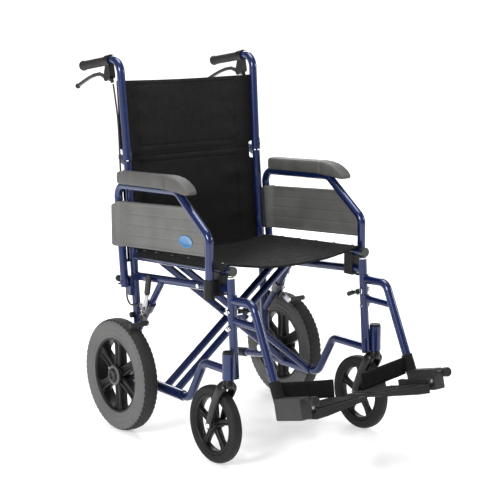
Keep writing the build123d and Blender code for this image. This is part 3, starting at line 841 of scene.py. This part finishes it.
def make_seat_screws():
    head = [(0, 4.8), (0.4, 4.8), (1.2, 3.9), (1.5, 2.4), (0.8, 2.2), (0.8, 0.3)]
    for side, sign in SIDES.items():
        body = "brace_a" if sign > 0 else "brace_b"
        screws = []
        for y in (-205, -130, -55, 20, 95, 150):
            up = Vector((0, 0.058, 1)).normalized()
            start = at(sign * 213, y, seat_z(y) + TUBE_R + 5.0)
            screws.append(lathe("screw", start, up, head, "screw_dark", 20))
        row = joined(f"seat_screws_{side}", screws)
        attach(row, body)


def make_cable(side):
    """The brake cable, as a copy of its own CAD shape with the cable jacket finish."""
    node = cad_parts[f"brake_cable_{side}"]
    cable = bpy.data.objects.new(f"cable_{side}", node.data.copy())
    bpy.context.collection.objects.link(cable)
    cable.data.materials.clear()
    cable.data.materials.append(MATERIALS["cable_jacket"])
    for face in cable.data.polygons:
        face.use_smooth = True
    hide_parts(f"brake_cable_{side}")
    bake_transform(cable)


BAND_FACE = [(0.6, -22.4), (1.2, -21.6), (1.2, -18), (1.55, -16.5), (1.3, -15),
             (1.3, 15), (1.55, 16.5), (1.2, 18), (1.2, 21.6), (0.6, 22.4)]
BAND_OUTLINE = BAND_FACE + [(-u, v) for u, v in reversed(BAND_FACE)]


def make_heel_strap(side, sign):
    """Webbing band behind the heel, from the hanger to the plate, with its loop round the hanger's foot."""
    route = [(203, -428, 226), (196, -428.5, 225.4), (180, -430, 223.5), (150, -431, 220), (120, -432, 216.5),
             (90, -434.5, 213.5), (66, -437, 211.5), (46, -439, 210)]
    rings = []
    count = 8
    for i in range((len(route) - 1) * count + 1):
        k = min(i // count, len(route) - 2)
        share = i / count - k
        a, b = Vector(route[max(k - 1, 0)]), Vector(route[k])
        c, d = Vector(route[k + 1]), Vector(route[min(k + 2, len(route) - 1)])
        spot = 0.5 * (2 * b + (c - a) * share + (2 * a - 5 * b + 4 * c - d) * share ** 2
                      + (3 * b - a - 3 * c + d) * share ** 3)
        slope = (c - a) * 0.5 * (1 - share) + (d - b) * 0.5 * share
        out = Vector((slope.y, -slope.x, 0)).normalized()
        up = Vector((0, 0.12, 1)).normalized()
        ring = []
        for u, v in BAND_OUTLINE:
            p = spot + out * u + up * v
            ring.append(at(p.x, p.y, p.z))
        rings.append(ring)
    strap = loft(f"strap_{side}", rings, "webbing", sign)
    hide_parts(f"heel_strap_{side}")
    start, end = at(sign * 196, -429, 225), at(sign * 70, -437, 211)
    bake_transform(strap)
    foot, top = Vector((RAIL_X, -447, 190)), Vector((RAIL_X, -336, 425))
    along = (top - foot).normalized()
    start = foot + along * 15
    loop_profile = [(0, 11.1), (0, 13.6), (1.5, 14.4), (4, 14.0), (24, 14.2), (47, 14.0), (50, 14.4),
                    (51.5, 13.6), (51.5, 11.1)]
    loop = lathe(f"strap_loop_{side}", on_side(start, sign), along, loop_profile, "webbing", 36)
    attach(loop, f"hanger_{side}")


def make_plate_ribs(side, sign):
    """Anti-slip ribs moulded along the top of the footplate."""
    cos, sin = math.cos(PITCH), math.sin(PITCH)

    def foot(x, y, z):
        return at(sign * x, -447 + y * cos + z * sin, 190 - y * sin + z * cos)

    outline = ((-2.2, 0), (-1.4, 1.3), (0, 1.7), (1.4, 1.3), (2.2, 0), (0, -1.5))
    parts = []
    for k in range(11):
        y = -74 + k * 10.4
        rings = []
        for i in range(13):
            x = 34 + i * 11
            top = -3 - 4.6 * (x - 25) / 145
            rings.append([foot(x, y + u, top + v) for u, v in outline])
        parts.append(loft("rib", rings, "plastic_plate"))
    ribs = joined(f"plate_ribs_{side}", parts)
    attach(ribs, f"footplate_{side}")


# ---------------------------------------------------------------- studio
def make_studio():
    """A white floor that brightens with distance, four soft lights and a white surround."""
    points = [(x * STUDIO_REACH, y * STUDIO_REACH, 0) for x, y in ((-1, -1), (1, -1), (1, 1), (-1, 1))]
    nodes = Nodes("studio_paper")
    tone = nodes.blend(nodes.spread(nodes.noise(0.6), 0.0, 1.0), (0.90, 0.90, 0.905), (0.93, 0.93, 0.93))
    nodes.link(tone, nodes.shader.inputs["Base Color"])
    nodes.shader.inputs["Roughness"].default_value = 0.14
    nodes.shader.inputs["Specular IOR Level"].default_value = 0.55
    nodes.shader.inputs["Emission Color"].default_value = (1.0, 1.0, 1.0, 1.0)
    far = nodes.add("ShaderNodeVectorMath", operation="LENGTH")
    nodes.link(nodes.place, far.inputs[0])
    glow = nodes.add("ShaderNodeMapRange")
    for socket, value in (("From Min", 0.9), ("From Max", 3.2), ("To Min", 0.42), ("To Max", 1.0)):
        glow.inputs[socket].default_value = value
    nodes.link(far.outputs["Value"], glow.inputs["Value"])
    nodes.link(glow.outputs[0], nodes.shader.inputs["Emission Strength"])
    mesh = bpy.data.meshes.new("studio")
    mesh.from_pydata(points, [], [(0, 1, 2, 3)])
    floor = bpy.data.objects.new("studio", mesh)
    bpy.context.collection.objects.link(floor)
    mesh.materials.append(nodes.material)
    for name, place, size, power, colour in (
        ("key", (-3.0, -1.1, 2.0), 1.0, 92, (1.0, 0.99, 0.97)),
        ("top", (0.1, 0.2, 3.4), 1.8, 78, (1.0, 1.0, 1.0)),
        ("right", (2.6, -1.8, 1.7), 0.6, 22, (0.97, 0.98, 1.0)),
        ("behind", (2.2, 3.4, 3.0), 2.0, 90, (1.0, 1.0, 1.0)),
    ):
        light = bpy.data.lights.new(name, "AREA")
        light.shape = "SQUARE"
        light.size = size
        light.energy = power
        light.color = colour
        lamp = bpy.data.objects.new(name, light)
        lamp.location = place
        aim = Vector((0, 0.05, 0.45)) - Vector(place)
        lamp.rotation_euler = aim.to_track_quat("-Z", "Y").to_euler()
        bpy.context.collection.objects.link(lamp)
    world = bpy.data.worlds.new("studio_air")
    world.use_nodes = True
    world.node_tree.nodes["Background"].inputs[0].default_value = (1.0, 1.0, 1.0, 1.0)
    tree = world.node_tree
    seen = tree.nodes.new("ShaderNodeLightPath")
    strength = tree.nodes.new("ShaderNodeMath")
    strength.operation = "MULTIPLY_ADD"
    tree.links.new(seen.outputs["Is Camera Ray"], strength.inputs[0])
    strength.inputs[1].default_value = 0.70
    strength.inputs[2].default_value = 0.34
    tree.links.new(strength.outputs[0], tree.nodes["Background"].inputs[1])
    bpy.context.scene.world = world


def make_camera():
    """The camera, a little above the seat, to the front and the right of the chair."""
    azimuth, elevation, roll = math.radians(-37.13), math.radians(10.45), math.radians(-0.06)
    back = Vector((math.sin(azimuth) * math.cos(elevation), -math.cos(azimuth) * math.cos(elevation),
                   math.sin(elevation)))
    level = Vector((0, 0, 1)).cross(back).normalized()
    up = back.cross(level)
    right = level * math.cos(roll) + up * math.sin(roll)
    up = up * math.cos(roll) - level * math.sin(roll)
    lens = bpy.data.cameras.new("camera")
    lens.sensor_width = 36.0
    lens.lens = 105.29
    lens.clip_end = 60
    camera = bpy.data.objects.new("camera", lens)
    place = at(-2315, -3094, 1200)
    camera.matrix_world = Matrix((
        (right.x, up.x, back.x, place.x), (right.y, up.y, back.y, place.y),
        (right.z, up.z, back.z, place.z), (0, 0, 0, 1),
    ))
    bpy.context.collection.objects.link(camera)
    bpy.context.scene.camera = camera


# ---------------------------------------------------------------- build
dress_frame()
for side, sign in SIDES.items():
    make_tyres(side, sign)
    make_rims(side, sign)
    make_fork(side, sign)
    make_grip(side, sign)
    make_pad(side, sign)
    make_panel(side, sign)
    make_cable(side)
    make_heel_strap(side, sign)
    make_plate_ribs(side, sign)
make_seat()
make_seat_screws()
make_back("back_cloth_upper", 723, 936, "upper_back_right", "backrest_upper",
          (738, 756, 924), 5.0)
make_back("back_cloth_lower", 455, 731, "frame_right", "backrest_lower",
          (712, 470), 0.0)
make_studio()
make_camera()
bpy.context.scene.view_settings.view_transform = "Standard"
